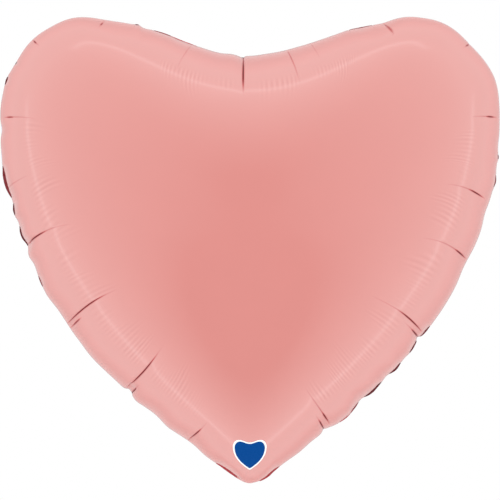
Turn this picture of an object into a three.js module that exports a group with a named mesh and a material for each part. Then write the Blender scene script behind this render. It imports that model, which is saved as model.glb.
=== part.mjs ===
// Heart-shaped foil balloon, blown up. Two heart-shaped films are heat-sealed to each other round their
// edge. A flat filling neck leaves the tip of the heart and is folded up behind it, and the two thin films
// of the self-closing valve lie inside the neck and reach on into the gas chamber.
//
// Millimetres, +Z up, front face towards -Y. The origin is the tip of the heart, where a ribbon is tied.
// Films are drawn thicker than life, so that each is a solid: a real one is about 0.04 mm thick.

import * as THREE from "three";

// ---- Driving dimensions ----

const WIDTH = 385; // across the heart, seal to seal
const HEIGHT = 360; // tip to the top of the lobes
const HALF_DEPTH = 87; // middle of the heart's front to the seal's plane
const FILM = 0.35; // wall of the outer films
const VALVE_FILM = 0.25; // wall of the valve films
const GAP = 0.3; // clearance between films that lie on each other
const SEAL_WIDTH = 3; // flat heat-sealed band outside the gas chamber

const NECK_WIDTH = 20;
const NECK_ROOT = 26; // length from the fold at the tip to the bend line
const NECK_END = 78; // and from the bend line to the neck's mouth
const NECK_CORNER = 4; // radius of the mouth's corners
const RIBBON_HOLE_RADIUS = 2.5;
const RIBBON_HOLE_FROM_END = 11;
const FOLD_LINE = new THREE.Vector3(0, 1.4, 0.3); // the neck turns about X here
const ROOT_LEAN = THREE.MathUtils.degToRad(68); // the folded root's angle from upright
const END_LEAN = THREE.MathUtils.degToRad(36); // and the end's, which bends back to the heart
const FOLD_CLEARANCE = 2.6; // from the fold line to the nearest film
const BEND_CLEARANCE = 1.4; // from the bend line to the films on either side of it

const VALVE_WIDTH = 14;
const VALVE_IN_END = 46; // length of the valve films beyond the bend line
const VALVE_IN_CHAMBER = 48; // and inside the gas chamber
const TONGUE_FOOT = 15; // height at which the valve enters the chamber

const SPOKES_PER_SIDE = 42; // steps along half the heart's outline
const RINGS = 12; // steps from the chamber's middle to the seal
const RELAXATION_ROUNDS = 900;

// ---- Materials ----

const outerFilm = new THREE.MeshStandardMaterial({ color: 0xeca39d, roughness: 0.42, metalness: 0.35 });
const bareFilm = new THREE.MeshStandardMaterial({ color: 0xe9a7a2, roughness: 0.45, metalness: 0.3 });
const valveFilm = new THREE.MeshStandardMaterial({ color: 0xe4e6e8, roughness: 0.3, metalness: 0 });

// ---- The heart's outline ----

// Right half of the seal's outer edge, from the cleft over the lobe and down to the tip, in X and Z.
function halfOutline() {
  const cleft = new THREE.Vector2(0, 0.914 * HEIGHT);
  const lobeTop = new THREE.Vector2(0.327 * WIDTH, HEIGHT);
  const widest = new THREE.Vector2(0.5 * WIDTH, 0.778 * HEIGHT);
  const tipShoulder = new THREE.Vector2(0.052 * WIDTH, 0.03 * HEIGHT);
  const lobeHandle = 0.12 * WIDTH;

  const edge = new THREE.Path();
  edge.moveTo(cleft.x, cleft.y);
  edge.bezierCurveTo(lobeHandle, cleft.y, lobeTop.x - lobeHandle, lobeTop.y, lobeTop.x, lobeTop.y);
  edge.bezierCurveTo(
    lobeTop.x + 0.095 * WIDTH, lobeTop.y, widest.x, widest.y + 0.122 * HEIGHT, widest.x, widest.y,
  );
  edge.bezierCurveTo(
    widest.x, widest.y - 0.428 * HEIGHT,
    tipShoulder.x + 0.103 * WIDTH, tipShoulder.y + 0.086 * HEIGHT,
    tipShoulder.x, tipShoulder.y,
  );
  edge.quadraticCurveTo(0.3 * tipShoulder.x, 0, 0, 0);
  return edge;
}

// Evenly spaced points round the whole heart, clockwise from the cleft as seen from the front.
function heartOutline() {
  const right = halfOutline().getSpacedPoints(SPOKES_PER_SIDE);
  const left = right.slice(1, -1).reverse().map((p) => new THREE.Vector2(-p.x, p.y));
  return [...right, ...left];
}

// The outline moved inwards, at right angles to itself.
function inset(outline, distance) {
  const count = outline.length;
  return outline.map((point, i) => {
    const along = outline[(i + 1) % count].clone().sub(outline[(i + count - 1) % count]).normalize();
    return new THREE.Vector2(point.x + along.y * distance, point.y - along.x * distance);
  });
}

// ---- The blown-up film ----

const sealEdge = heartOutline();
const chamberEdge = inset(sealEdge, SEAL_WIDTH);
const SPOKES = chamberEdge.length;
const chamberMiddle = new THREE.Vector2(0, 0.53 * HEIGHT);

// How far out each ring lies, from 0 in the middle to 1 at the seal. Rings crowd towards the seal, where
// the film turns steeply.
const ringShares = Array.from({ length: RINGS }, (_, j) => Math.sin(((j + 1) / RINGS) * (Math.PI / 2)));

// Flat points of the film: the middle first, then ring by ring outwards.
function flatPoints(edge) {
  const rings = ringShares.map((share) => edge.map((p) => chamberMiddle.clone().lerp(p, share)));
  return [chamberMiddle.clone(), ...rings.flat()];
}

// Index of a point on a ring, counted from 0 next to the middle.
const pointIndex = (ring, spoke) => 1 + ring * SPOKES + (spoke % SPOKES);

function flatTriangles() {
  const triangles = [];
  for (let s = 0; s < SPOKES; s++) {
    triangles.push([0, pointIndex(0, s), pointIndex(0, s + 1)]);
    for (let r = 0; r < RINGS - 1; r++) {
      triangles.push([pointIndex(r, s), pointIndex(r + 1, s), pointIndex(r + 1, s + 1)]);
      triangles.push([pointIndex(r, s), pointIndex(r + 1, s + 1), pointIndex(r, s + 1)]);
    }
  }
  return triangles;
}

// Height of the film over each flat point, from 0 at the seal to 1 at its highest. Gas pressure gives
// the square of the height the shape of a loaded membrane: Poisson's equation, solved by relaxation.
function billow(points, triangles) {
  const links = points.map(() => new Map());
  const load = new Array(points.length).fill(0);
  for (const corners of triangles) {
    corners.forEach((a, k) => {
      const b = corners[(k + 1) % 3];
      const c = corners[(k + 2) % 3];
      const toA = points[a].clone().sub(points[c]);
      const toB = points[b].clone().sub(points[c]);
      const twiceArea = Math.abs(toA.cross(toB));
      const pull = toA.dot(toB) / twiceArea / 2;
      links[a].set(b, (links[a].get(b) ?? 0) + pull);
      links[b].set(a, (links[b].get(a) ?? 0) + pull);
      load[c] += twiceArea / 6;
    });
  }
  const squares = new Array(points.length).fill(0);
  const free = points.length - SPOKES;
  for (let round = 0; round < RELAXATION_ROUNDS; round++) {
    for (let i = 0; i < free; i++) {
      let pulled = load[i];
      let stiffness = 0;
      for (const [j, pull] of links[i]) {
        pulled += pull * squares[j];
        stiffness += pull;
      }
      squares[i] = pulled / stiffness;
    }
  }
  const highest = Math.max(...squares);
  return squares.map((square) => Math.sqrt(square / highest));
}

// A closed solid skinned over loops of points, one after another, with a pole before and after them.
// The loops run clockwise as seen from the first pole's side.
function skin(firstPole, loops, lastPole) {
  const count = loops[0].length;
  const positions = [firstPole, ...loops.flat(), lastPole].flatMap((p) => [p.x, p.y, p.z]);
  const last = 1 + loops.length * count;
  const index = [];
  for (let i = 0; i < count; i++) {
    const next = (i + 1) % count;
    index.push(0, 1 + next, 1 + i);
    for (let j = 0; j < loops.length - 1; j++) {
      const a = 1 + j * count;
      const b = a + count;
      index.push(a + i, b + next, b + i, a + i, a + next, b + next);
    }
    const outer = last - count;
    index.push(outer + i, outer + next, last);
  }
  const geometry = new THREE.BufferGeometry();
  geometry.setAttribute("position", new THREE.Float32BufferAttribute(positions, 3));
  geometry.setIndex(index);
  geometry.computeVertexNormals();
  return geometry;
}

const flat = flatPoints(chamberEdge);
const heights = billow(flat, flatTriangles());

// One side of the balloon: a billowed film with the flat seal round it. Its inside face is the same
// billow, one wall smaller all round. It is made as the front film; the back one is its mirror image.
function panelGeometry() {
  const insideFlat = flatPoints(inset(chamberEdge, FILM));
  const outsidePoint = (i) =>
    new THREE.Vector3(flat[i].x, -(GAP / 2 + FILM) - heights[i] * HALF_DEPTH, flat[i].y);
  const insidePoint = (i) =>
    new THREE.Vector3(insideFlat[i].x, -GAP / 2 - heights[i] * HALF_DEPTH, insideFlat[i].y);
  const loop = (point, ring) => chamberEdge.map((_, s) => point(pointIndex(ring, s)));
  const sealLoop = (y) => sealEdge.map((p) => new THREE.Vector3(p.x, y, p.y));

  const rings = [...ringShares.keys()];
  const loops = [
    ...rings.map((ring) => loop(outsidePoint, ring)),
    sealLoop(-(GAP / 2 + FILM)),
    sealLoop(-GAP / 2),
    ...rings.reverse().map((ring) => loop(insidePoint, ring)),
  ];
  return skin(outsidePoint(0), loops, insidePoint(0));
}

function frontPanel() {
  const mesh = new THREE.Mesh(panelGeometry(), outerFilm);
  mesh.name = "front_panel";
  return mesh;
}

function backPanel() {
  const mesh = new THREE.Mesh(panelGeometry(), bareFilm);
  mesh.name = "back_panel";
  mesh.scale.y = -1;
  return mesh;
}

// ---- The neck and the valve ----

// A flat strip of film that stands on Z = 0, its near face at Y = 0 and its wall towards +Y. Its upper
// corners may be rounded, and it may have a round hole.
function strip({ width, length, thickness, corner = 0, hole = null }) {
  const half = width / 2;
  const shape = new THREE.Shape();
  shape.moveTo(-half, 0);
  shape.lineTo(half, 0);
  if (corner) {
    shape.absarc(half - corner, length - corner, corner, 0, Math.PI / 2);
    shape.absarc(corner - half, length - corner, corner, Math.PI / 2, Math.PI);
  } else {
    shape.lineTo(half, length);
    shape.lineTo(-half, length);
  }
  if (hole) {
    const ring = new THREE.Path();
    ring.absarc(0, length - hole.fromEnd, hole.radius, 0, 2 * Math.PI, true);
    shape.holes.push(ring);
  }
  const geometry = new THREE.ExtrudeGeometry(shape, {
    depth: thickness,
    bevelEnabled: false,
    curveSegments: 8,
  });
  return geometry.rotateX(Math.PI / 2).translate(0, thickness, 0);
}

// The neck's four films lie on each other about a middle plane, and each is one layer: its name, its
// near face's distance from that plane, its width, wall and material. When the neck hangs down, the
// layers with the higher numbers face forwards.
const valveFace = GAP / 2;
const neckFace = valveFace + VALVE_FILM + GAP;
const LAYERS = [
  { name: "neck_back_film", near: -neckFace - FILM, width: NECK_WIDTH, wall: FILM, look: outerFilm },
  { name: "valve_back_film", near: -valveFace - VALVE_FILM, width: VALVE_WIDTH, wall: VALVE_FILM, look: valveFilm },
  { name: "valve_front_film", near: valveFace, width: VALVE_WIDTH, wall: VALVE_FILM, look: valveFilm },
  { name: "neck_front_film", near: neckFace, width: NECK_WIDTH, wall: FILM, look: outerFilm },
];

function layerStrip(layer, suffix, foot, details) {
  const geometry = strip({ width: layer.width, thickness: layer.wall, ...details });
  const mesh = new THREE.Mesh(geometry, layer.look);
  mesh.name = layer.name + suffix;
  mesh.position.set(0, layer.near, foot);
  return mesh;
}

// The stretch of the neck between the fold at the tip and the bend line.
function neckRoot() {
  const root = new THREE.Group();
  const length = NECK_ROOT - FOLD_CLEARANCE - BEND_CLEARANCE;
  root.add(...LAYERS.map((layer) => layerStrip(layer, "_root", FOLD_CLEARANCE, { length })));
  return root;
}

// The rest of the neck, with its mouth and the ribbon's hole. The valve stops short of both.
function neckEnd() {
  const end = new THREE.Group();
  const neck = {
    length: NECK_END - BEND_CLEARANCE,
    corner: NECK_CORNER,
    hole: { radius: RIBBON_HOLE_RADIUS, fromEnd: RIBBON_HOLE_FROM_END },
  };
  const valve = { length: VALVE_IN_END - BEND_CLEARANCE };
  for (const layer of LAYERS) {
    end.add(layerStrip(layer, "_end", BEND_CLEARANCE, layer.look === valveFilm ? valve : neck));
  }
  return end;
}

// The neck as it is stored: folded up behind the heart at the tip, and bent back towards it.
function foldedNeck() {
  const neck = neckRoot();
  neck.position.copy(FOLD_LINE);
  neck.rotation.x = -ROOT_LEAN;
  const end = neckEnd();
  end.position.set(0, 0, NECK_ROOT);
  end.rotation.x = ROOT_LEAN - END_LEAN;
  neck.add(end);
  return neck;
}

// The valve films' inner ends, loose in the gas chamber just above the tip. Here the front film is the
// one nearer the front, because the fold at the tip turns the neck's layers over.
function valveTongues() {
  const [back, front] = LAYERS.filter((layer) => layer.look === valveFilm);
  const swapped = [
    { ...front, near: back.near },
    { ...back, near: front.near },
  ];
  const details = { length: VALVE_IN_CHAMBER, corner: 2 };
  return swapped.map((layer) => layerStrip(layer, "_tongue", TONGUE_FOOT, details));
}

// ---- The balloon ----

const balloon = new THREE.Group();
balloon.add(frontPanel(), backPanel(), ...valveTongues(), foldedNeck());

export default balloon;
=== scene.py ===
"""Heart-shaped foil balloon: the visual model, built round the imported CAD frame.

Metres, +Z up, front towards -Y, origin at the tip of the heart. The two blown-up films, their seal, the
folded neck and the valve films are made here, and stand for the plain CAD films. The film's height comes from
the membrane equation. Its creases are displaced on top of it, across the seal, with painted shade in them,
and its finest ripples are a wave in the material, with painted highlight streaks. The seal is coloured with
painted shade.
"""

import math
from collections import namedtuple

import bpy
import numpy as np
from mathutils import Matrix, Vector
from mathutils.bvhtree import BVHTree


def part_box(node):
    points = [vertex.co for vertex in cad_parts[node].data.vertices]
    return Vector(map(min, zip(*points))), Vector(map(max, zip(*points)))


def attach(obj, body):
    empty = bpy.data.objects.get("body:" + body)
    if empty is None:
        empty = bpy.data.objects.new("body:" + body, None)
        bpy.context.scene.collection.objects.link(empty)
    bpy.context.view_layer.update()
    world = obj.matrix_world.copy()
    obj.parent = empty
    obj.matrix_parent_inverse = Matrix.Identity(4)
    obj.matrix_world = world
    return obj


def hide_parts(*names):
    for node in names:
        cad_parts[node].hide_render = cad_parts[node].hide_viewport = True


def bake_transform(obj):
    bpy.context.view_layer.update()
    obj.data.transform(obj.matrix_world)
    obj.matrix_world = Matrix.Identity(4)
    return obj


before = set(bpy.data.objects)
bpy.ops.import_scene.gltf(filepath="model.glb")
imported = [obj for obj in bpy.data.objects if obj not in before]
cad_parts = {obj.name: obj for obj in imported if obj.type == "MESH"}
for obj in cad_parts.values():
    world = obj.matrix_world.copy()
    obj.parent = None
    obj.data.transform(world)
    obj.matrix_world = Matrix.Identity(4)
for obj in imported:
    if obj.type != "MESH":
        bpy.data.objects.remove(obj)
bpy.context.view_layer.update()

MM = 0.001

# ---- Sizes from the frame ----

panel_low, panel_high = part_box("front_panel")
WIDTH = panel_high.x - panel_low.x
HEIGHT = panel_high.z
HALF_DEPTH = -panel_low.y
MIDDLE = np.array([0, 0.53 * HEIGHT])  # where the film's spokes meet, in X and Z

SWELL = 0.3 * MM  # the film bulges this far past the outline, before it curls in to the seal
RECESS = 3 * MM  # the seal's inner line lies this far inside the outline
CURL_DEPTH = 5 * MM  # and the film curls in to it over this depth, front or back
OUTLINE_POINTS = 6000

# ---- Small helpers ----


def smooth(value, low, high):
    """0 below low, 1 above high, and an even S between them. low may be the larger one."""
    share = np.clip((value - low) / (high - low), 0, 1)
    return share * share * (3 - 2 * share)


def bell(value, width):
    """1 at 0, and less each way as a Gaussian: about a third at width."""
    return np.exp(-((value / width) ** 2))


def bezier(points, count):
    """count points along a Bezier curve of any degree, its last point left out."""
    share = np.linspace(0, 1, count, endpoint=False)[:, None]
    curve = [np.array(p, float) for p in points]
    while len(curve) > 1:
        curve = [a * (1 - share) + b * share for a, b in zip(curve, curve[1:])]
    return curve[0]


def mesh_object(name, points, faces, material):
    """A smooth-shaded mesh in the scene."""
    mesh = bpy.data.meshes.new(name)
    mesh.from_pydata([tuple(p) for p in points], [], [tuple(int(i) for i in f) for f in faces])
    mesh.update()
    mesh.polygons.foreach_set("use_smooth", [True] * len(mesh.polygons))
    mesh.materials.append(material)
    piece = bpy.data.objects.new(name, mesh)
    bpy.context.scene.collection.objects.link(piece)
    return piece


def point_values(piece, name, values):
    """Stores one number per point, for the piece's material to read."""
    attribute = piece.data.attributes.new(name, "FLOAT", "POINT")
    attribute.data.foreach_set("value", np.asarray(values, np.float32))


# ---- The heart's outline ----


def half_outline():
    """Right half of the seal's outer edge, from the cleft over the lobe and down to the tip, in X and Z."""
    cleft = np.array([0, 0.914 * HEIGHT])
    lobe_top = np.array([0.327 * WIDTH, HEIGHT])
    widest = np.array([0.5 * WIDTH, 0.778 * HEIGHT])
    shoulder = np.array([0.052 * WIDTH, 0.03 * HEIGHT])
    handle = [0.12 * WIDTH, 0]
    return np.vstack([
        bezier([cleft, cleft + handle, lobe_top - handle, lobe_top], 400),
        bezier([lobe_top, lobe_top + [0.095 * WIDTH, 0], widest + [0, 0.122 * HEIGHT], widest], 300),
        bezier([widest, widest - [0, 0.428 * HEIGHT],
                shoulder + [0.103 * WIDTH, 0.086 * HEIGHT], shoulder], 700),
        bezier([shoulder, [0.3 * shoulder[0], 0], [0, 0]], 60),
    ])


def even_loop(points, count):
    """The closed loop through these points as count evenly spaced ones, and its length."""
    closed = np.vstack([points, points[:1]])
    steps = np.linalg.norm(np.diff(closed, axis=0), axis=1)
    walked = np.concatenate([[0], np.cumsum(steps)])
    stations = np.linspace(0, walked[-1], count, endpoint=False)
    return np.stack([np.interp(stations, walked, closed[:, k]) for k in (0, 1)], axis=1), walked[-1]


right_half = half_outline()
left_half = right_half[:0:-1] * [-1, 1]
outline, ROUND = even_loop(np.vstack([right_half, [[0, 0]], left_half]), OUTLINE_POINTS)
HALF_ROUND = ROUND / 2
stations_of_outline = np.linspace(0, ROUND, len(outline), endpoint=False)
ahead, behind = np.roll(outline, -8, axis=0), np.roll(outline, 8, axis=0)
along_outline = (ahead - behind) / np.linalg.norm(ahead - behind, axis=1)[:, None]
into_heart = np.stack([along_outline[:, 1], -along_outline[:, 0]], axis=1)


def on_outline(values, station):
    """Values given round the outline, read at these stations: metres walked clockwise from the cleft."""
    return np.stack(
        [np.interp(station, stations_of_outline, values[:, k], period=ROUND) for k in (0, 1)], axis=1
    )


def station_of(side, share):
    """The station at a share of the way from the cleft to the tip, on the right (1) or left (-1) side."""
    return (share * HALF_ROUND) if side > 0 else ROUND - share * HALF_ROUND


def from_station(station, other):
    """Signed way round the outline from other to station."""
    return (station - other + HALF_ROUND) % ROUND - HALF_ROUND


# ---- The film's height under pressure ----

# The square of the height of a film under gas pressure is the deflection of a loaded membrane. Inside the
# outline that is a sum of harmonic terms less the square of the distance from the middle.
TERMS = 60
film_edge = outline - into_heart * SWELL
REACH = np.hypot(*(film_edge - MIDDLE).T).max()


def membrane_terms(points):
    """The harmonic terms at these points, and the squares of their distances from the middle."""
    x, z = ((points - MIDDLE) / REACH).T
    distance, angle = np.hypot(x, z), np.arctan2(x, z)
    return np.stack([distance**n * np.cos(n * angle) for n in range(TERMS)], axis=1), distance**2


edge_terms, edge_squares = membrane_terms(film_edge)
weights = np.linalg.lstsq(edge_terms, edge_squares, rcond=1e-12)[0]
edge_misfit = np.stack([edge_terms @ weights - edge_squares] * 2, axis=1)


def deflection(points):
    terms, squares = membrane_terms(points)
    return terms @ weights - squares


# The film is highest on the heart's middle line.
up_the_middle = np.linspace(0.45, 0.6, 60) * HEIGHT
HIGHEST = deflection(np.stack([np.zeros_like(up_the_middle), up_the_middle], axis=1)).max()

# ---- Creases, ripples and where the seal shows ----

# side: 1 right, -1 left. share: of the way from the cleft to the tip. start, length, depth and width are in
# mm: how far inside the edge the crease starts, how long and deep it is, and how wide its gentler flank is.
# lean is its angle from the edge's normal, towards the tip, in degrees, and arc its bow towards the tip, in
# mm. dark is how far the painted shade along its line runs, in mm.
Crease = namedtuple("Crease", "side share start length depth width lean arc dark")
DASH = 9  # a crease shorter than this, in mm, doesn't turn the film's spokes with it

FRONT_CREASES = [
    Crease(-1, 0.008, 0, 34, 2.2, 3.0, -5, 0.6, 33),
    Crease(-1, 0.075, 2.5, 24, 0.35, 4.0, 20, 0, 0),
    Crease(-1, 0.196, 3.5, 7, 0.9, 1.6, 42, 0, 5),
    Crease(-1, 0.294, 1.5, 8, 0.9, 1.6, 0, 0, 5),
    Crease(-1, 0.406, 6, 26, 0.7, 4.0, -10, -0.6, 8),
    Crease(-1, 0.497, 3, 18, 0.45, 3.0, -20, -0.5, 0),
    Crease(-1, 0.573, 1, 42, 1.5, 5.0, -9, -0.8, 26),
    Crease(-1, 0.687, 2, 48, 1.5, 5.0, -5, -0.4, 44),
    Crease(-1, 0.694, 2, 12, 0.8, 1.6, -5, -0.4, 12),
    Crease(-1, 0.799, 3, 44, 2.2, 5.0, 1, 1.5, 42),
    Crease(-1, 0.807, 0, 12, 1.8, 2.2, -6, 1.0, 9),
    Crease(-1, 0.902, 2, 22, 1.7, 3.0, 7, 0.9, 17),
    Crease(1, 0.048, 3, 24, 0.8, 4.0, 6, 0.4, 0),
    Crease(1, 0.079, 2, 13, 0.35, 3.0, 20, 0, 0),
    Crease(1, 0.178, 1.5, 8.9, 1.3, 1.6, 42, 0, 17),
    Crease(1, 0.300, 0.5, 7, 0.8, 1.6, -6, 0, 5),
    Crease(1, 0.406, 5, 20, 1.0, 3.0, -12, -0.7, 9),
    Crease(1, 0.515, 7, 32, 1.0, 4.0, -15, -1.0, 16),
    Crease(1, 0.594, 3, 40, 1.2, 5.0, -7, -1.6, 14),
    Crease(1, 0.704, 4, 48, 1.2, 5.0, -7, -1.0, 30),
    Crease(1, 0.712, 0, 20, 1.4, 2.2, -4, -0.8, 14),
    Crease(1, 0.872, 5, 34, 1.7, 4.0, -6, -1.2, 12),
    Crease(1, 0.881, 0, 17, 1.6, 2.2, -4, -1.0, 14),
]

# The back film shares the seal's puckers, and its creases run on from them at lengths of their own.
BACK_CREASES = [
    c._replace(length=c.length * (0.8 + 0.5 * ((7 * i) % 5) / 4), depth=c.depth * (0.8 + 0.1 * (i % 4)))
    for i, c in enumerate(FRONT_CREASES)
]

# side, share, mm, mm: the film bulges past its outline (or pinches in, where it is negative) by the first
# length, over the second to each side. Creases pinch it in, and between them it bulges.
EDGE_BUMPS = [
    (-1, 0.023, 0.8, 6), (-1, 0.085, 0.9, 20), (-1, 0.114, 0.9, 9), (-1, 0.140, -0.6, 5),
    (-1, 0.150, 1.2, 3), (-1, 0.188, -1.7, 17), (-1, 0.265, -0.8, 14), (-1, 0.325, -0.9, 11),
    (-1, 0.356, 0.7, 5), (-1, 0.420, -1.5, 6), (-1, 0.484, 1.4, 10), (-1, 0.513, -2.2, 6),
    (-1, 0.543, -2.0, 6), (-1, 0.574, -2.2, 5), (-1, 0.589, 0.4, 4), (-1, 0.600, -1.1, 7),
    (-1, 0.624, 0.7, 5), (-1, 0.642, 1.4, 9), (-1, 0.686, 0.1, 8), (-1, 0.700, 0.4, 8),
    (-1, 0.740, 1.6, 19), (-1, 0.803, -2.2, 2.6), (-1, 0.820, 0.8, 5), (-1, 0.848, -1.2, 9),
    (-1, 0.872, 0.4, 5), (-1, 0.908, -1.4, 14), (-1, 0.932, 0.5, 8), (-1, 0.970, -0.5, 16),
    (1, 0.020, 0.5, 10), (1, 0.055, 1.2, 26), (1, 0.148, -0.5, 6), (1, 0.173, -2.6, 13),
    (1, 0.230, -0.6, 11), (1, 0.298, -1.2, 15), (1, 0.356, 1.8, 16), (1, 0.380, 0.2, 8),
    (1, 0.440, -0.5, 6), (1, 0.456, 1.0, 3), (1, 0.487, 1.6, 6), (1, 0.530, -1.1, 9),
    (1, 0.602, -1.4, 14), (1, 0.662, 0.45, 26), (1, 0.713, -1.6, 3.5), (1, 0.732, 0.7, 5),
    (1, 0.761, 1.6, 6), (1, 0.776, -0.9, 4), (1, 0.801, 1.0, 7), (1, 0.820, -1.7, 4.5),
    (1, 0.850, 1.9, 10), (1, 0.879, -1.4, 5), (1, 0.900, -0.8, 11), (1, 0.925, 0.3, 8),
    (1, 0.978, 1.2, 7),
]

# side, share from, share to, mm that the seal shows past the film, and how red its painted shade is there, 0
# to 1
SEAL_SHOWS = [
    (-1, 0.066, 0.112, 0.65, 1.0), (-1, 0.100, 0.130, 0.75, 0.5), (-1, 0.148, 0.154, 0.8, 0.2),
    (-1, 0.328, 0.334, 0.7, 0.2), (-1, 0.350, 0.363, 1.2, 0.1), (-1, 0.466, 0.510, 2.2, 0.3),
    (-1, 0.516, 0.533, 1.35, 0.1), (-1, 0.546, 0.575, 1.45, 0.1), (-1, 0.615, 0.631, 1.0, 0.3),
    (-1, 0.948, 0.988, 1.6, 0.8),
    (1, 0.130, 0.165, 0.6, 0.5), (1, 0.451, 0.459, 0.8, 0.3), (1, 0.477, 0.496, 0.9, 0.3),
    (1, 0.690, 0.710, 1.2, 0.2), (1, 0.716, 0.735, 1.15, 0.2), (1, 0.750, 0.772, 1.5, 0.1),
    (1, 0.785, 0.816, 1.6, 0.1), (1, 0.824, 0.843, 1.1, 0.4), (1, 0.840, 0.862, 0.8, 0.8),
    (1, 0.955, 0.988, 1.45, 0.7),
]

# side, share from, share to, strength of the fine ripples that lie across the film's shoulder
RIPPLED = [
    (-1, 0.0, 0.12, 0.8), (-1, 0.40, 0.50, 0.5), (-1, 0.49, 0.60, 1.0), (-1, 0.60, 0.70, 0.7),
    (-1, 0.69, 0.80, 1.0), (-1, 0.80, 0.90, 0.8),
    (1, 0.0, 0.15, 0.8), (1, 0.40, 0.52, 0.6), (1, 0.52, 0.60, 1.0), (1, 0.60, 0.70, 0.8),
    (1, 0.70, 0.80, 0.9), (1, 0.78, 0.88, 1.2),
]
RIPPLE_LENGTH = 3.4 * MM
RIPPLE_HEIGHT = 0.08 * MM
SIDE_SLANT = 0.27  # how steeply the ripples at the sides run back towards the cleft


def edge_bump(station, inside=0.0):
    """How far the film lies past its outline here. Narrow bumps end closer to the edge than wide ones."""
    total = 0
    for side, share, out, reach in EDGE_BUMPS:
        near = bell(from_station(station, station_of(side, share)), reach * MM)
        fade = min(26, 8 + 1.2 * reach) * MM
        total = total + out * MM * near * smooth(inside, fade, 0)
    return total


def seal_shows(station):
    """How far the seal shows past the film here, and how red its painted shade is."""
    shows, red = np.zeros(len(station)), np.zeros(len(station))
    for side, low, high, out, redness in SEAL_SHOWS:
        half_length = (high - low) / 2 * HALF_ROUND
        off_centre = from_station(station, station_of(side, (low + high) / 2)) / half_length
        here = out * MM * np.clip(1 - off_centre**2, 0, 1) ** 0.6
        red = np.where(here > shows, redness, red)
        shows = np.maximum(shows, here)
    return shows, red


def near_creases(station, value):
    """The long creases' own values, spread over the film between them."""
    total, share = 0, 0
    for c in FRONT_CREASES:
        if c.length >= DASH:
            near = bell(from_station(station, station_of(c.side, c.share)), 20 * MM)
            total = total + near * value(c) * c.side
            share = share + near
    return total / np.maximum(share, 0.4)


def across_crease(c, station, inside):
    """Signed distance from a crease's line, positive on the tip's side."""
    gap = from_station(station, station_of(c.side, c.share)) * c.side
    if c.length < DASH:
        gap = gap - math.tan(math.radians(c.lean)) * (inside - c.start * MM)
    return gap


def crease_reach(c, inside):
    """How much of its depth a crease has, this far inside the edge."""
    start, length = c.start * MM, c.length * MM
    opening = smooth(inside, start - 2 * MM, start + 2 * MM) if c.start else 1
    return opening * np.clip(1 - (inside - start) / length, 0, 1) ** 1.3


def crease_sink(creases, station, inside):
    """Depth of the creases at these points. One flank is steep, as that side of the fold lies on top."""
    sink = 0
    for c in creases:
        across = across_crease(c, station, inside)
        flank = np.where(across < 0, 0.7 * MM, c.width * MM)
        sink = sink + c.depth * MM * crease_reach(c, inside) * np.exp(-np.abs(across) / flank)
    return sink


def crease_shade(creases, station, inside):
    """0 to 1: painted shade in the creases' grooves, for the material. A faint one runs on past the dark."""
    shade = np.zeros(len(station))
    for c in creases:
        across = across_crease(c, station, inside)
        faint = 0.5 * min(1, c.depth / 0.8) * crease_reach(c, inside) ** 0.6
        shade = np.maximum(shade, faint * bell(across, 0.45 * MM))
        if c.dark:
            along = (inside - c.start * MM) / (c.dark * MM)
            half_width = (0.34 + 0.28 * np.sin(math.pi * np.clip(along, 0, 1))) * MM
            run = smooth(along, 1, 0.55) * (0.65 + 0.35 * smooth(along, 0, 0.3))
            if c.start:
                run = run * smooth(inside, (c.start - 1) * MM, (c.start + 1.5) * MM)
            deepest = min(1, 0.5 + 0.5 * c.depth)
            shade = np.maximum(shade, deepest * run * bell(across, half_width))
    return shade


def ripples(station, inside, shift):
    """Fine ripples, at right angles to the edge, where the film turns over its shoulder: their strength from
    0 to 1, and the angle of their wave."""
    strength = 0
    for side, low, high, height in RIPPLED:
        length = (high - low) * HALF_ROUND
        off_centre = np.abs(from_station(station, station_of(side, (low + high) / 2)))
        strength = np.maximum(strength, height * smooth(off_centre, length / 2, 0.3 * length))
    turns = 2 * math.pi * station / ROUND
    from_cleft = from_station(station, 0)
    around = np.abs(from_cleft) / HALF_ROUND
    above = smooth(around, 0.47, 0.40)
    at_side = smooth(around, 0.42, 0.50) * smooth(around, 0.66, 0.56)

    # Where they start and end, and how much they vary. Above the sides they bead the film's ridge,
    # in bump and in painted highlight.
    outer = (19 + at_side) * MM
    inner = (36 + 8 * smooth(around, 0.4, 0.5) + 7 * np.sin(23 * turns + shift) + 5 * np.sin(61 * turns)) * MM
    band = smooth(inside, outer, outer + 6 * MM) * smooth(inside, inner, inner - 18 * MM)
    uneven = 0.62 + (0.38 - 0.23 * above) * np.sin(37 * turns + shift) * np.sin(11 * turns)
    beads = 1 + above * bell(inside - 27 * MM, 4 * MM)

    # The wave is coarsest at the sides, where it also slants.
    stretched = turns + 0.11 * np.sin(2 * turns)
    wander = 3.2 * np.sin(7 * turns + shift) + 2.4 * np.sin(17 * turns + 2.1 + shift)
    wander += 1.2 * np.sin(41 * turns)
    slant = SIDE_SLANT * at_side * np.sign(from_cleft) * 2 * math.pi * inside / RIPPLE_LENGTH
    return strength * band * uneven * beads, ROUND / RIPPLE_LENGTH * stretched + wander + slant


def seal_wave(station):
    """The seal's buckling to front and back."""
    turns = 2 * math.pi * station / ROUND
    return MM * (0.5 * np.sin(53 * turns + 1.3) + 0.4 * np.sin(34 * turns) + 0.25 * np.sin(89 * turns + 0.6))


# ---- The blown-up films ----

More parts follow.
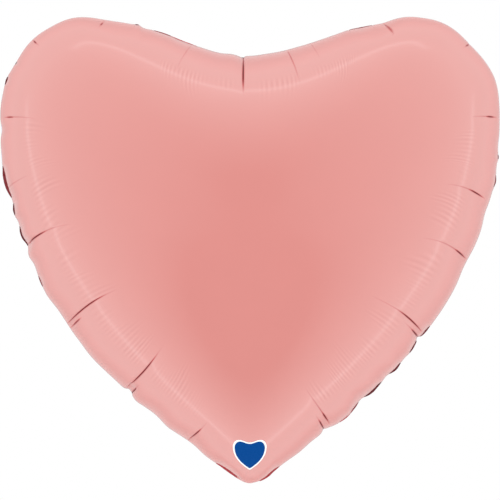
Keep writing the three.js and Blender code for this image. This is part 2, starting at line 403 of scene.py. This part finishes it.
SPOKE_GAP = 0.72 * MM
CREASE_SPOKE_GAP = 0.3 * MM
FINE_RINGS = [0.8 * MM] * 10 + [1.3 * MM] * 12 + [2.2 * MM] * 19  # steps where every spoke has a point
COARSEST = 8  # near the middle a ring has one point for this many spokes
LEAN_REACH = 36 * MM  # a crease's lean dies out over this length
ARC_REACH = 45 * MM  # and its bow is this long
LOBE_SHARE = 0.27  # where on each side the lobe's corner is
SEAL_POINTS = 1800
SEAL_HIDES = 1.2 * MM  # the seal's edge ends this far inside the film's where it doesn't show
SEAL_HALF_WALL = 0.08 * MM
TIP_ROOM = (34 * MM, 14 * MM)  # the back film leaves room for the neck from here to here off the tip


def spoke_stations():
    """Stations of the spokes: SPOKE_GAP apart, and closer at the creases. COARSEST divides their number."""
    fine = np.linspace(0, ROUND, 60000, endpoint=False)
    density = np.full(len(fine), 1 / SPOKE_GAP)
    for c in FRONT_CREASES:
        reach = (3 if c.length < DASH else 1.3) * MM
        density += 1 / CREASE_SPOKE_GAP * bell(from_station(fine, station_of(c.side, c.share)), reach)
    total = np.cumsum(density) * (ROUND / len(fine))
    count = COARSEST * round(total[-1] / COARSEST)
    return np.interp(np.linspace(0, total[-1], count, endpoint=False), total, fine)


def ring_shares():
    """How far along a spoke each ring lies, from 0 at the seal to 1 in the middle, and how many spokes it has
    one point for."""
    inside = np.linspace(0, 165 * MM, 40000)
    height = np.sqrt(27 * MM * inside)  # about the film's, so that the rings are even along its arc
    arc = np.concatenate([[0], np.cumsum(np.hypot(np.diff(inside), np.diff(height)))])
    steps = list(FINE_RINGS)
    every = [1] * (len(steps) + 1)
    for skipped, step, count in ((2, 3.5 * MM, 8), (4, 6 * MM, 6)):
        steps += [step] * count
        every += [skipped] * count
    left = round((arc[-1] - sum(steps)) / (9 * MM))
    steps += [(arc[-1] - sum(steps)) / left] * (left - 1)
    every += [COARSEST] * (left - 1)
    stops = np.concatenate([[0], np.cumsum(steps)])
    return np.interp(stops, arc, inside) / inside[-1], every


def film_points():
    """Station and share of each point of a film, ring by ring from the seal, and the film's faces."""
    stations = spoke_stations()
    shares, every = ring_shares()
    rings = [stations[::skipped] for skipped in every]
    starts = np.concatenate([[0], np.cumsum([len(r) for r in rings])])
    faces = []
    for outer, inner, ring, next_ring in zip(starts, starts[1:], rings, rings[1:]):
        i = np.arange(len(next_ring))
        after = (i + 1) % len(next_ring)
        if len(ring) == len(next_ring):
            faces += list(zip(outer + i, outer + after, inner + after, inner + i))
        else:
            faces += list(zip(outer + 2 * i, outer + 2 * i + 1, inner + i))
            faces += list(zip(outer + 2 * i + 1, inner + after, inner + i))
            faces += list(zip(outer + 2 * i + 1, outer + (2 * i + 2) % len(ring), inner + after))
    last, count, middle = starts[-2], len(rings[-1]), starts[-1]
    faces += [(last + i, last + (i + 1) % count, middle) for i in range(count)]
    station = np.concatenate(rings + [[0]])
    share = np.concatenate([np.full(len(r), s) for r, s in zip(rings, shares)] + [[1.0]])
    return station, share, faces


def film_flat(station, share):
    """X and Z of the film's points, and how far inside the edge they are. Spokes leave the edge nearly at
    right angles, as its creases lean, then turn to the middle."""
    edge = on_outline(film_edge, station)
    normal = on_outline(into_heart, station)
    tangent = np.stack([-normal[:, 1], normal[:, 0]], axis=1)
    to_middle = MIDDLE - edge
    length = np.linalg.norm(to_middle, axis=1)
    inside = share * length

    around = np.abs(from_station(station, 0)) / HALF_ROUND
    at_lobe = smooth(np.abs(around - LOBE_SHARE), 0.25, 0.02)
    radial = np.maximum(smooth(around, 0.90, 0.975), 0.8 * at_lobe)[:, None]
    way = normal * (1 - radial) + to_middle / length[:, None] * radial
    way /= np.linalg.norm(way, axis=1)[:, None]
    lean = near_creases(station, lambda c: math.sin(math.radians(c.lean)))
    arc = near_creases(station, lambda c: c.arc * MM)
    leaning = lean * LEAN_REACH * (1 - np.exp(-inside / LEAN_REACH))
    bowed = arc * np.sin(math.pi * np.clip(inside / ARC_REACH, 0, 1))
    straight = edge + way * inside[:, None] + tangent * (leaning + bowed)[:, None]

    turned = smooth(share, 0.08, 0.65)[:, None]
    return straight * (1 - turned) + (edge + to_middle * share[:, None]) * turned, inside


def point_normals(points, faces):
    """Normals of a mesh's points, from its faces."""
    total = np.zeros_like(points)
    for size in (3, 4):
        corners = np.array([f for f in faces if len(f) == size])
        if len(corners):
            first, second, third, last = (points[corners[:, k]] for k in (0, 1, 2, -1))
            normal = np.cross(third - first, last - second)
            for k in range(size):
                np.add.at(total, corners[:, k], normal)
    return total / np.linalg.norm(total, axis=1)[:, None]


def film(name, creases, back, shift, material):
    """One of the two blown-up films, as a mesh."""
    station, share, faces = film_points()
    flat, inside = film_flat(station, share)
    misfit = on_outline(edge_misfit, station)[:, 0] * (1 - share) ** 6
    height = HALF_DEPTH * np.sqrt(np.clip(deflection(flat) - misfit, 0, None) / HIGHEST)
    height[share == 0] = 0

    # The film curls in to the seal. At the tip the back film doesn't, to leave room for the neck.
    curl = np.clip(1 - height / CURL_DEPTH, 0, 1) ** 2
    if back:
        at_tip = smooth(np.abs(from_station(station, HALF_ROUND)), *TIP_ROOM)
        curl = curl * (1 - at_tip) + smooth(height, 30 * MM, 0) * at_tip
    bulge = edge_bump(station, inside) - seal_shows(station)[0] * smooth(inside, 9 * MM, 0)
    flat = flat + on_outline(into_heart, station) * (RECESS * curl - bulge)[:, None]
    depth = seal_wave(station) * smooth(height, 10 * MM, 0)

    facing = 1 if back else -1
    points = np.stack([flat[:, 0], facing * height + depth, flat[:, 1]], axis=1)
    outward = point_normals(points, faces) * facing
    sink = crease_sink(creases, station, inside)
    points -= outward * (sink * smooth(height, 0, 3 * MM))[:, None]

    if not back:
        faces = [f[::-1] for f in faces]
    piece = mesh_object(name, points, faces, material)
    # fold holds painted shade for the creases, which the material mixes into the foil's colour
    point_values(piece, "fold", crease_shade(creases, station, inside))
    strength, angle = ripples(station, inside, shift)
    point_values(piece, "ripple", strength)
    point_values(piece, "ripple_angle", angle)
    return piece


def seal_band(material):
    """The heat-sealed band: a thin, crinkled ribbon in the groove between the films."""
    stations = np.linspace(0, ROUND, SEAL_POINTS, endpoint=False)
    normal = on_outline(into_heart, stations)
    edge = on_outline(film_edge, stations) - normal * edge_bump(stations)[:, None]
    turns = 2 * math.pi * stations / ROUND
    shows, red = seal_shows(stations)
    reach = -SEAL_HIDES + (SEAL_HIDES - 0.05 * MM) * np.clip(shows / (0.3 * MM), 0, 1)
    crinkle = MM * (0.5 * np.sin(131 * turns) + 0.35 * np.sin(211 * turns + 1.0))
    inner = RECESS + 0.2 * MM
    loops = []
    for share, side in ((0, -1), (0.5, -1), (1, -1), (1, 1), (0.5, 1), (0, 1)):
        inwards = inner - share * (inner + reach)
        flat = edge + normal * inwards[:, None]
        y = seal_wave(stations) + crinkle * share + side * SEAL_HALF_WALL
        loops.append(np.stack([flat[:, 0], y, flat[:, 1]], axis=1))
    n, rows = len(stations), len(loops)
    faces = [
        (r * n + i, r * n + (i + 1) % n, (r + 1) % rows * n + (i + 1) % n, (r + 1) % rows * n + i)
        for r in range(rows) for i in range(n)
    ]
    band = mesh_object("seal_band", np.vstack(loops), faces, material)
    # red sets how far the seal's painted shade goes from dark towards red at each point
    point_values(band, "red", np.tile(red, rows))
    return band


# ---- The folded neck and the valve ----

NECK_WIDTH = 20 * MM
NECK_ROOT = 26 * MM  # from the fold line at the tip to the bend line
NECK_END = 78 * MM  # from the bend line to the mouth
ROOT_LEAN = math.radians(68)  # from upright, backwards
END_LEAN = math.radians(36)
ROOT_WAY = np.array([math.sin(ROOT_LEAN), math.cos(ROOT_LEAN)])  # in Y and Z
END_WAY = np.array([math.sin(END_LEAN), math.cos(END_LEAN)])
FOLD_LINE = np.array([1.4, 0.3]) * MM
BEND_LINE = FOLD_LINE + ROOT_WAY * NECK_ROOT
FOLD_RADIUS = 1.4 * MM
BEND_REACH = 5 * MM  # the bend is spread this far each way from its line
VALVE_WIDTH = 14 * MM
VALVE_IN_END = 46 * MM
VALVE_IN_CHAMBER = (5 * MM, 63 * MM)
FILM_WALL = 0.12 * MM
VALVE_WALL = 0.05 * MM
HOLE_RADIUS = 2.5 * MM
HOLE_FROM_MOUTH = 11 * MM
MOUTH_CORNER = 4 * MM
NECK_GRID = 0.5 * MM
HOLE_PATCH = 8  # the hole is cut in a square patch that reaches this many grid steps from its centre


def neck_path():
    """The neck's middle line in Y and Z: out of the seal's groove, round the fold, along the root, round the
    bend, and to the mouth. Also how far along it the bend line is."""
    in_groove = np.array([[0, 4.6], [0, 3.2]]) * MM
    centre = np.array([FOLD_RADIUS, FOLD_LINE[1] + FOLD_RADIUS / ROOT_WAY[0]])
    turn = np.linspace(0, math.pi - ROOT_LEAN, 16)
    fold = centre - FOLD_RADIUS * np.stack([np.cos(turn), np.sin(turn)], axis=1)
    bend = bezier([BEND_LINE - ROOT_WAY * BEND_REACH, BEND_LINE, BEND_LINE + END_WAY * BEND_REACH], 14)
    to_mouth = BEND_LINE + END_WAY * np.linspace(BEND_REACH, NECK_END, 40)[:, None]
    line = np.vstack([in_groove, fold, bend, to_mouth])
    walked = np.concatenate([[0], np.cumsum(np.linalg.norm(np.diff(line, axis=0), axis=1))])
    return line, walked, walked[len(in_groove) + len(fold)]


NECK_LINE, NECK_WALKED, BEND_START = neck_path()
NECK_LENGTH = NECK_WALKED[-1]


def tip_rise(x):
    """How far the heart's rounded tip has risen at this distance from its middle."""
    tip = outline[(np.abs(outline[:, 0]) < 0.06 * WIDTH) & (outline[:, 1] < 0.05 * HEIGHT)]
    tip = tip[np.argsort(tip[:, 0])]
    return np.interp(x, tip[:, 0], tip[:, 1])


def strip_flat(width, start, end, rounded=False, hole=None):
    """A flat strip as points (across, along) and faces, its far corners rounded and with a round hole."""
    columns = 2 * round(width / NECK_GRID / 2)
    rows = round((end - start) / NECK_GRID)
    points, faces = [], []
    for v in np.linspace(start, end, rows + 1):
        in_corner = max(0, MOUTH_CORNER - (end - v))
        narrow = MOUTH_CORNER - math.sqrt(max(0, MOUTH_CORNER**2 - in_corner**2))
        share = 1 - 2 * narrow / width if rounded else 1
        points += [(share * u, v) for u in np.linspace(-0.5, 0.5, columns + 1) * width]
    hole_row = round((hole - start) / NECK_GRID) if hole else 0
    for r in range(rows):
        for c in range(columns):
            in_patch = abs(r + 0.5 - hole_row) < HOLE_PATCH and abs(c + 0.5 - columns // 2) < HOLE_PATCH
            if not (hole and in_patch):
                a = r * (columns + 1) + c
                faces.append((a, a + 1, a + columns + 2, a + columns + 1))
    if hole:
        faces += faces_round_hole(points, columns, hole_row)
    return np.array(points), faces


def faces_round_hole(points, columns, hole_row):
    """Faces from the edge of a square patch of the strip's grid in to a round hole. Adds to points."""
    sides = [(k, -HOLE_PATCH) for k in range(-HOLE_PATCH, HOLE_PATCH)]
    sides += [(HOLE_PATCH, k) for k in range(-HOLE_PATCH, HOLE_PATCH)]
    loop = sides + [(-u, -v) for u, v in sides]
    middle = hole_row * (columns + 1) + columns // 2
    ring = [middle + v * (columns + 1) + u for u, v in loop]
    centre = np.array(points[middle])
    squares = [np.array(points[i]) - centre for i in ring]
    faces = []
    for share in np.linspace(0, 1, 6)[1:]:
        inner = [len(points) + k for k in range(len(loop))]
        for square in squares:
            circle = square / np.linalg.norm(square) * HOLE_RADIUS
            points.append(tuple(centre + square * (1 - share) + circle * share))
        for k in range(len(loop)):
            faces.append((ring[k], ring[(k + 1) % len(loop)], inner[(k + 1) % len(loop)], inner[k]))
        ring = inner
    return faces


def walled(name, middle_points, normals, faces, thickness, material):
    """A thin closed sheet: the points pushed half a wall each way, joined round every open edge."""
    n = len(middle_points)
    points = np.vstack([middle_points + normals * thickness / 2, middle_points - normals * thickness / 2])
    edges = dict.fromkeys(edge for face in faces for edge in zip(face, face[1:] + face[:1]))
    rim = [(a, b) for a, b in edges if (b, a) not in edges]
    sheet = [tuple(f) for f in faces] + [tuple(n + i for i in reversed(f)) for f in faces]
    sheet += [(b, a, n + a, n + b) for a, b in rim]
    return mesh_object(name, points, sheet, material)


def neck_gap(x, along):
    """Half the gap between the neck's two films: shut at its sealed sides, a little open in the middle."""
    shut = smooth(np.abs(x), 0.46 * NECK_WIDTH, 0.2 * NECK_WIDTH)
    mouth = smooth(along, NECK_LENGTH - 25 * MM, NECK_LENGTH)
    return 0.09 * MM + shut * (0.34 + 0.35 * mouth) * MM


def valve_gap(x, along):
    """Half the gap between the valve's two films, which lie closer than the neck's."""
    return 0.3 * neck_gap(x, along)


def neck_at(along):
    """Y and Z of the neck's middle line, this far along it."""
    return np.stack([np.interp(along, NECK_WALKED, NECK_LINE[:, k]) for k in (0, 1)], axis=1)


def neck_sheet(name, flat, faces, side, gap, thickness, material):
    """A film of the neck: side is 1 for the layer that faces forwards when the neck hangs down."""
    x, along = flat.T
    y, z = neck_at(along).T
    step = 0.6 * MM
    way = neck_at(along + step) - neck_at(along - step)
    way /= np.linalg.norm(way, axis=1)[:, None]
    normals = np.stack([np.zeros(len(x)), way[:, 1], -way[:, 0]], axis=1)
    past_fold = smooth(along, 8 * MM, 30 * MM)
    wrinkle = 0.10 * np.sin(along / (3.1 * MM) + x / (4 * MM))
    wrinkle += 0.07 * np.sin(along / (1.7 * MM) - x / (2.3 * MM))
    bow = 0.5 * np.sin(along / (15 * MM)) * past_fold
    points = np.stack([x, y, z + tip_rise(x) * (1 - smooth(along, 2 * MM, 20 * MM))], axis=1)
    apart = side * gap(x, along) + (wrinkle + bow) * past_fold * MM
    return walled(name, points + normals * apart[:, None], normals * side, faces, thickness, material)


def neck_layer(name, side, width, end, gap, thickness, material, has_mouth):
    """One film of the neck in two pieces, for the two joints it crosses. With a mouth it has rounded corners
    and the ribbon hole."""
    hole = NECK_LENGTH - HOLE_FROM_MOUTH if has_mouth else None
    near, far = strip_flat(width, 0, BEND_START), strip_flat(width, BEND_START, end, has_mouth, hole)
    root = neck_sheet(name + "_root_sheet", *near, side, gap, thickness, material)
    outer = neck_sheet(name + "_end_sheet", *far, side, gap, thickness, material)
    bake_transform(root)
    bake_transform(outer)
    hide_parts(name + "_root")
    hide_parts(name + "_end")
    return root, outer


def plain_foil(piece):
    """A piece of foil without ripples, and without the creases' painted shade."""
    point_values(piece, "ripple", np.zeros(len(piece.data.vertices)))
    point_values(piece, "ripple_angle", np.zeros(len(piece.data.vertices)))


def valve_tongue(name, side, material):
    """A valve film's inner end, which hangs loose in the gas chamber."""
    flat, faces = strip_flat(VALVE_WIDTH, *VALVE_IN_CHAMBER)
    x, z = flat.T
    gap = side * (0.18 + 0.3 * smooth(z, 20 * MM, VALVE_IN_CHAMBER[1])) + 0.25 * np.sin(z / (7 * MM))
    lifted = z + tip_rise(x) * smooth(z, VALVE_IN_CHAMBER[1], VALVE_IN_CHAMBER[0])
    points = np.stack([x, gap * MM, lifted], axis=1)
    normals = np.tile([0, side, 0], (len(x), 1))
    tongue = walled(name + "_sheet", points, normals, faces, VALVE_WALL, material)
    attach(tongue, "envelope")
    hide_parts(name)
    return tongue


# ---- The printed mark ----


def print_on(name, film_piece, width, centre_z, lift, material):
    """A small heart printed on a film: a thin skin laid on it."""
    tree = BVHTree.FromObject(film_piece, bpy.context.evaluated_depsgraph_get())
    loop = even_loop(outline, 120)[0] * (width / WIDTH)
    middle = MIDDLE * (width / WIDTH)
    rings = np.linspace(1, 0, 14)[:-1]
    flat = np.vstack([middle + (loop - middle) * s for s in rings] + [middle[None, :]])
    flat[:, 1] += centre_z - 0.5 * HEIGHT * width / WIDTH
    points = []
    for x, z in flat:
        hit, normal, _, _ = tree.ray_cast(Vector((x, -2 * HALF_DEPTH, z)), Vector((0, 1, 0)))
        points.append(hit + normal * lift)
    n = len(loop)
    faces = [
        (j * n + (i + 1) % n, j * n + i, (j + 1) * n + i, (j + 1) * n + (i + 1) % n)
        for j in range(len(rings) - 1) for i in range(n)
    ]
    last = (len(rings) - 1) * n
    faces += [(last + (i + 1) % n, last + i, last + n) for i in range(n)]
    return mesh_object(name, points, faces, material)


# ---- Materials ----


def new_material(name):
    material = bpy.data.materials.new(name)
    material.use_nodes = True
    nodes = material.node_tree.nodes
    return material, nodes, material.node_tree.links, nodes["Principled BSDF"]


def noise(nodes, links, scale, detail=2.0):
    where = nodes.new("ShaderNodeTexCoord")
    texture = nodes.new("ShaderNodeTexNoise")
    texture.inputs["Scale"].default_value = scale
    texture.inputs["Detail"].default_value = detail
    links.new(where.outputs["Object"], texture.inputs["Vector"])
    return texture.outputs["Fac"]


def spread(nodes, links, value, low, high):
    """Maps a value from 0.3..0.7, where a noise mostly lies, to low..high."""
    node = nodes.new("ShaderNodeMapRange")
    for name, number in (("From Min", 0.3), ("From Max", 0.7), ("To Min", low), ("To Max", high)):
        node.inputs[name].default_value = number
    links.new(value, node.inputs["Value"])
    return node.outputs["Result"]


def mix_colour(nodes, links, share, low, high):
    """Mixes two colours, low at a share of 0. Each is a tuple or another node's output."""
    node = nodes.new("ShaderNodeMix")
    node.data_type = "RGBA"
    for socket, colour in ((node.inputs[6], low), (node.inputs[7], high)):
        if isinstance(colour, tuple):
            socket.default_value = (*colour, 1)
        else:
            links.new(colour, socket)
    links.new(share, node.inputs[0])
    return node.outputs[2]


def math_node(nodes, links, operation, a, b=0.0, clamp=False):
    node = nodes.new("ShaderNodeMath")
    node.operation, node.use_clamp = operation, clamp
    for socket, value in ((node.inputs[0], a), (node.inputs[1], b)):
        if isinstance(value, (int, float)):
            socket.default_value = value
        else:
            links.new(value, socket)
    return node.outputs[0]


def point_value(nodes, name):
    node = nodes.new("ShaderNodeAttribute")
    node.attribute_name = name
    return node.outputs["Fac"]


def foil_material(name, colour, crease_shade_red, crease_shade_dark):
    """Pink satin foil, faintly mottled: painted highlights on its ripples, painted shade in its creases."""
    material, nodes, links, shader = new_material(name)
    # darker is a random tone for the mottle, and lighter is a painted highlight for the ripples' streaks.
    darker, lighter = tuple(0.975 * c for c in colour), tuple(1.04 * c + 0.045 for c in colour)
    mottled = mix_colour(nodes, links, spread(nodes, links, noise(nodes, links, 35), 0, 1), darker, colour)
    # The ripples' wave bumps the film's normal and also paints highlight streaks into its colour.
    wave = math_node(nodes, links, "SINE", point_value(nodes, "ripple_angle"))
    wave = math_node(nodes, links, "MULTIPLY", wave, point_value(nodes, "ripple"))
    ripple_highlight = math_node(nodes, links, "ADD", math_node(nodes, links, "MULTIPLY", wave, 0.5), 0.5)
    ripple_highlighted = mix_colour(nodes, links, ripple_highlight, mottled, lighter)
    # The creases' painted shade: red at first, and nearly black where it is deepest.
    fold = point_value(nodes, "fold")
    doubled = math_node(nodes, links, "MULTIPLY", fold, 2.0)
    first_half = math_node(nodes, links, "MINIMUM", doubled, 1.0)
    second_half = math_node(nodes, links, "SUBTRACT", doubled, 1.0, clamp=True)
    crease_shade_reddened = mix_colour(nodes, links, first_half, ripple_highlighted, crease_shade_red)
    links.new(mix_colour(nodes, links, second_half, crease_shade_reddened, crease_shade_dark), shader.inputs["Base Color"])
    links.new(spread(nodes, links, noise(nodes, links, 60), 0.38, 0.46), shader.inputs["Roughness"])
    shader.inputs["IOR"].default_value = 1.15
    # Where the creases' painted shade lies, the gloss coat is taken away, so that the shade stays dark.
    links.new(math_node(nodes, links, "SUBTRACT", 1.0, fold), shader.inputs["Coat Weight"])
    shader.inputs["Coat IOR"].default_value = 2.2
    shader.inputs["Coat Roughness"].default_value = 0.10
    shader.inputs["Sheen Weight"].default_value = 0.02
    shader.inputs["Sheen Roughness"].default_value = 0.4
    grain = nodes.new("ShaderNodeBump")
    grain.inputs["Strength"].default_value = 0.05
    grain.inputs["Distance"].default_value = 0.02 * MM
    links.new(noise(nodes, links, 1400, 3), grain.inputs["Height"])
    rippled = nodes.new("ShaderNodeBump")
    rippled.inputs["Distance"].default_value = RIPPLE_HEIGHT
    links.new(wave, rippled.inputs["Height"])
    links.new(grain.outputs["Normal"], rippled.inputs["Normal"])
    links.new(rippled.outputs["Normal"], shader.inputs["Normal"])
    return material


def seal_material(name, dark, red):
    """The heat-sealed band in painted shade: dark in its groove, a painted red where light comes through."""
    material, nodes, links, shader = new_material(name)
    uneven = spread(nodes, links, noise(nodes, links, 300), 0.8, 1.1)
    share = math_node(nodes, links, "MULTIPLY", point_value(nodes, "red"), uneven, True)
    links.new(mix_colour(nodes, links, share, dark, red), shader.inputs["Base Color"])
    links.new(spread(nodes, links, noise(nodes, links, 500), 0.4, 0.5), shader.inputs["Roughness"])
    shader.inputs["IOR"].default_value = 1.3
    return material


def mottled_material(name, low, high, colour_scale, roughness_scale, smoothest, roughest):
    """A material whose colour and roughness vary a little over it."""
    material, nodes, links, shader = new_material(name)
    mottle = spread(nodes, links, noise(nodes, links, colour_scale), 0, 1)
    links.new(mix_colour(nodes, links, mottle, low, high), shader.inputs["Base Color"])
    uneven = spread(nodes, links, noise(nodes, links, roughness_scale), smoothest, roughest)
    links.new(uneven, shader.inputs["Roughness"])
    return material, shader


def ink_material(name, colour):
    lighter = tuple(min(1, 1.06 * c + 0.004) for c in colour)
    material, shader = mottled_material(name, colour, lighter, 900, 500, 0.4, 0.5)
    shader.inputs["IOR"].default_value = 1.08
    return material


def milky_material(name, colour):
    """Thin, slightly cloudy valve film."""
    cloudier = tuple(0.95 * c for c in colour)
    material, shader = mottled_material(name, cloudier, colour, 300, 120, 0.3, 0.42)
    shader.inputs["Alpha"].default_value = 0.72
    return material


PINK = (0.612, 0.180, 0.158)
# Painted shade for the creases, laid over the pink: red, then nearly black where deepest.
CREASE_SHADE_RED = (0.45, 0.03, 0.03)
CREASE_SHADE_DARK = (0.05, 0.0, 0.002)
pink_foil = foil_material("pink_foil", PINK, CREASE_SHADE_RED, CREASE_SHADE_DARK)
# The seal's colours are painted shade on pink foil: dark in its groove, red where it shows past the film.
seal_painted_shade = seal_material("seal_painted_shade", (0.09, 0.008, 0.012), (0.55, 0.07, 0.08))
white_ink = ink_material("white_ink", (0.87, 0.87, 0.88))
milky_film = milky_material("milky_film", (0.8, 0.8, 0.82))
blue_ink = ink_material("blue_ink", (0.0, 0.05, 0.225))

# ---- The balloon ----

front_film = film("front_film", FRONT_CREASES, False, 0.0, pink_foil)
back_film = film("back_film", BACK_CREASES, True, 2.0, pink_foil)
seal = seal_band(seal_painted_shade)
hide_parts("front_panel")
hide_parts("back_panel")

PRINT_WIDTH = 25.6 * MM
PRINT_BORDER = 1.3 * MM
PRINT_MIDDLE = 24 * MM  # its height above the tip
INK = 0.06 * MM
print_border = print_on("printed_border", front_film, PRINT_WIDTH, PRINT_MIDDLE, INK, white_ink)
heart_width = PRINT_WIDTH - 2 * PRINT_BORDER
print_heart = print_on("printed_heart", front_film, heart_width, PRINT_MIDDLE, 2 * INK, blue_ink)

for piece in (front_film, back_film, seal, print_border, print_heart):
    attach(piece, "envelope")

neck_films = (NECK_WIDTH, NECK_LENGTH, neck_gap, FILM_WALL, pink_foil, True)
neck_pieces = [
    *neck_layer("neck_front_film", 1, *neck_films),
    *neck_layer("neck_back_film", -1, *neck_films),
]
valve_end = NECK_LENGTH - NECK_END + VALVE_IN_END
valve_films = (VALVE_WIDTH, valve_end, valve_gap, VALVE_WALL, milky_film, False)
valve_pieces = [
    *neck_layer("valve_front_film", 1, *valve_films),
    *neck_layer("valve_back_film", -1, *valve_films),
    valve_tongue("valve_front_film_tongue", -1, milky_film),
    valve_tongue("valve_back_film_tongue", 1, milky_film),
]
for piece in neck_pieces:
    plain_foil(piece)

# ---- Stage, light and camera ----

FLOOR_RADIUS = 0.6
FLOOR_HEIGHT = -0.42
FLOOR_CORNERS = 96
floor_mesh = bpy.data.meshes.new("floor")
floor_edge = [
    (FLOOR_RADIUS * math.cos(a), FLOOR_RADIUS * math.sin(a), FLOOR_HEIGHT)
    for a in np.linspace(0, 2 * math.pi, FLOOR_CORNERS, endpoint=False)
]
floor_mesh.from_pydata(floor_edge, [], [tuple(range(FLOOR_CORNERS))])
floor = bpy.data.objects.new("floor", floor_mesh)
bpy.context.scene.collection.objects.link(floor)
floor_material, _, _, floor_shader = new_material("floor")
floor_shader.inputs["Base Color"].default_value = (0.9, 0.9, 0.9, 1)
floor_shader.inputs["Roughness"].default_value = 0.8
floor_mesh.materials.append(floor_material)
floor.visible_glossy = False

ROOM_COLOUR = (0.87, 1.0, 1.0)
ROOM_DARK = 0.3
ROOM_LIGHT = 1.26
ROOM_BRIGHTEST = 1.33  # the room is brightest at this angle from the Y axis, in radians
DIM_ANGLE = 0.08  # and dim up to this one, or further above and below
DIM_ABOVE = 0.3
DIM_BELOW = 0.72
BACKDROP_COLOUR = (1.06, 0.97, 0.97)
BACKDROP_LIGHT = 0.82
BACKDROP_DIM = 0.32  # how much less of it there is straight behind
STRIP_LIGHT = 0.5
STRIP_Y = -0.175  # the strip's place and width, as the Y of its direction
STRIP_WIDTH = 0.028
PANEL_SIZE = 3.4
PANEL_AWAY = 1.3
PANEL_ABOVE = 0.2  # above the balloon's middle
PANEL_LIGHT = 34
BACK_PANEL_LIGHT = 0.62 * PANEL_LIGHT


def light_panel(name, y, energy):
    """A large soft light that adds no gloss, before or behind the balloon."""
    data = bpy.data.lights.new(name, "AREA")
    data.size, data.energy = PANEL_SIZE, energy
    panel = bpy.data.objects.new(name, data)
    panel.location = (0, y, 0.5 * HEIGHT + PANEL_ABOVE)
    panel.rotation_euler = (math.copysign(math.pi / 2, -y), 0, 0)
    panel.visible_glossy = panel.visible_camera = False
    bpy.context.scene.collection.objects.link(panel)


def studio():
    """A pale room: dim straight in front, light to the sides and behind, with a narrow strip of light. The
    camera sees it white."""
    world = bpy.data.worlds.new("studio")
    bpy.context.scene.world = world
    world.use_nodes = True
    nodes, links = world.node_tree.nodes, world.node_tree.links
    nodes.clear()

    def maths(operation, a, b=0.0, clamp=False):
        return math_node(nodes, links, operation, a, b, clamp)

    def ramp(value, low, high):
        node = nodes.new("ShaderNodeMapRange")
        node.interpolation_type = "SMOOTHSTEP"
        node.inputs["From Min"].default_value = low
        node.inputs["From Max"].default_value = high
        links.new(value, node.inputs["Value"])
        return node.outputs["Result"]

    def gaussian(value, width):
        scaled = maths("DIVIDE", value, width)
        return maths("EXPONENT", maths("MULTIPLY", -1.0, maths("MULTIPLY", scaled, scaled)))

    where = nodes.new("ShaderNodeTexCoord")
    parts = nodes.new("ShaderNodeSeparateXYZ")
    links.new(where.outputs["Generated"], parts.inputs[0])
    _, y, z = parts.outputs

    # The room is dim round the Y axis, and brighter with the angle from it. Downwards the dim part reaches
    # furthest. rise is how steeply a direction goes up, as seen along the Y axis.
    off_axis = maths("ARCCOSINE", maths("ABSOLUTE", y))
    flat = maths("SQRT", maths("MAXIMUM", maths("SUBTRACT", 1.0, maths("MULTIPLY", y, y)), 0.001))
    rise = maths("DIVIDE", z, flat)
    up = maths("POWER", maths("MAXIMUM", rise, 0.0), 8.0)
    down = maths("POWER", maths("MAXIMUM", maths("MULTIPLY", rise, -1.0), 0.0), 1.6)
    wider = maths("ADD", maths("MULTIPLY", DIM_ABOVE, up), maths("MULTIPLY", DIM_BELOW, down))
    dim = maths("ADD", DIM_ANGLE, wider)
    past_dim, brightest = maths("SUBTRACT", off_axis, dim), maths("SUBTRACT", ROOM_BRIGHTEST, dim)
    bright = maths("DIVIDE", past_dim, brightest, clamp=True)
    room = maths("ADD", ROOM_DARK, maths("MULTIPLY", ROOM_LIGHT - ROOM_DARK, bright))

    # Behind the balloon's plane there is at least the backdrop's light, and it has a colour of its own.
    behind = ramp(y, 0.1, 0.5)
    backdrop = maths("SUBTRACT", behind, maths("MULTIPLY", BACKDROP_DIM, ramp(y, 0.9, 1.0)))
    room = maths("MAXIMUM", room, maths("MULTIPLY", BACKDROP_LIGHT, backdrop))

    # A narrow strip of light a little before the seal's plane. It is left out where the lobes turn outwards,
    # and kinks forwards where it starts again.
    kink = maths("MULTIPLY", 0.09, gaussian(maths("SUBTRACT", rise, 0.92), 0.04))
    strip = gaussian(maths("ADD", maths("SUBTRACT", y, STRIP_Y), kink), STRIP_WIDTH)
    lit = maths("ADD", ramp(rise, 0.88, 0.96), ramp(rise, 0.45, 0.2))
    light = maths("ADD", room, maths("MULTIPLY", maths("MULTIPLY", strip, lit), STRIP_LIGHT))

    room_shader, seen_shader = (nodes.new("ShaderNodeBackground") for _ in range(2))
    links.new(light, room_shader.inputs["Strength"])
    links.new(mix_colour(nodes, links, behind, ROOM_COLOUR, BACKDROP_COLOUR), room_shader.inputs["Color"])
    seen_shader.inputs["Color"].default_value = (1, 1, 1, 1)
    mixed = nodes.new("ShaderNodeMixShader")
    camera_ray = nodes.new("ShaderNodeLightPath").outputs["Is Camera Ray"]
    for output, socket in zip((camera_ray, room_shader.outputs[0], seen_shader.outputs[0]), mixed.inputs):
        links.new(output, socket)
    links.new(mixed.outputs[0], nodes.new("ShaderNodeOutputWorld").inputs[0])


studio()
light_panel("front_panel_light", -PANEL_AWAY, PANEL_LIGHT)
light_panel("back_panel_light", PANEL_AWAY, BACK_PANEL_LIGHT)

CAMERA_AWAY = 2.4
CAMERA_RIGHT = 0.2 * MM
VIEW_WIDTH = 1.002 * WIDTH
SENSOR_WIDTH = 36
camera_data = bpy.data.cameras.new("camera")
camera_data.sensor_width = SENSOR_WIDTH
camera_data.lens = SENSOR_WIDTH * CAMERA_AWAY / VIEW_WIDTH
camera = bpy.data.objects.new("camera", camera_data)
camera.location = (CAMERA_RIGHT, -CAMERA_AWAY, 0.5 * HEIGHT)
camera.rotation_euler = (math.pi / 2, 0, 0)
bpy.context.scene.collection.objects.link(camera)
bpy.context.scene.camera = camera
bpy.context.scene.view_settings.view_transform = "Standard"
